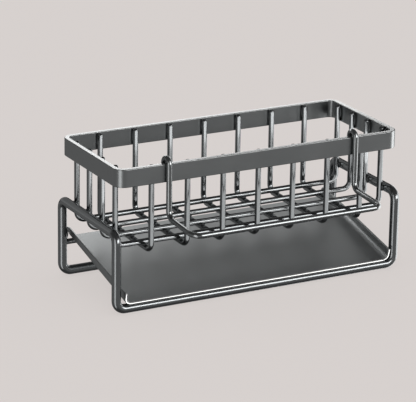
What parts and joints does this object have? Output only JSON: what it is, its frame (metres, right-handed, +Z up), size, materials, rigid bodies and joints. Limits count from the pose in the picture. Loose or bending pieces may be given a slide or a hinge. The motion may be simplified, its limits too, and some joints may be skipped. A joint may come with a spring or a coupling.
{
  "type": "sponge holder",
  "caption": "Free-standing wire sponge holder: flat-rimmed basket on a bent-wire stand, sloping drip tray below, lift-off cloth bar hooked on the front rim.",
  "frame": {"origin": "on the table under the middle of the stand, halfway between the front and rear floor bars", "axes": "+X to the right along the length, +Y from the cloth bar at the front to the back, +Z up"},
  "size_m": [0.23, 0.1388, 0.1095],
  "materials": {
    "stand_wire": "gunmetal gloss",
    "basket_wire": "gunmetal gloss",
    "cloth_wire": "gunmetal gloss",
    "rim_strip": "gunmetal satin",
    "tray_sheet": "gunmetal satin"
  },
  "bodies": {
    "stand": {"stand_frame": "stand_wire", "tray_rest_bar": "stand_wire", "rim_band": "rim_strip", "cross_wire_1": "basket_wire", "cross_wire_2": "basket_wire", "cross_wire_3": "basket_wire", "cross_wire_4": "basket_wire", "cross_wire_5": "basket_wire", "cross_wire_6": "basket_wire", "cross_wire_7": "basket_wire", "long_wire_1": "basket_wire", "long_wire_2": "basket_wire", "long_wire_3": "basket_wire", "long_wire_4": "basket_wire"},
    "tray": {"drip_tray": "tray_sheet"},
    "cloth_rail": {"cloth_bar": "cloth_wire"}
  },
  "joints": [
    {"name": "tray_lift", "type": "slide", "parent": "stand", "child": "tray", "axis": [0, 0, 1], "range_m": [0, 0.007]},
    {"name": "cloth_bar_lift", "type": "slide", "parent": "stand", "child": "cloth_rail", "axis": [0, 0, 1], "range_m": [0, 0.012]}
  ]
}
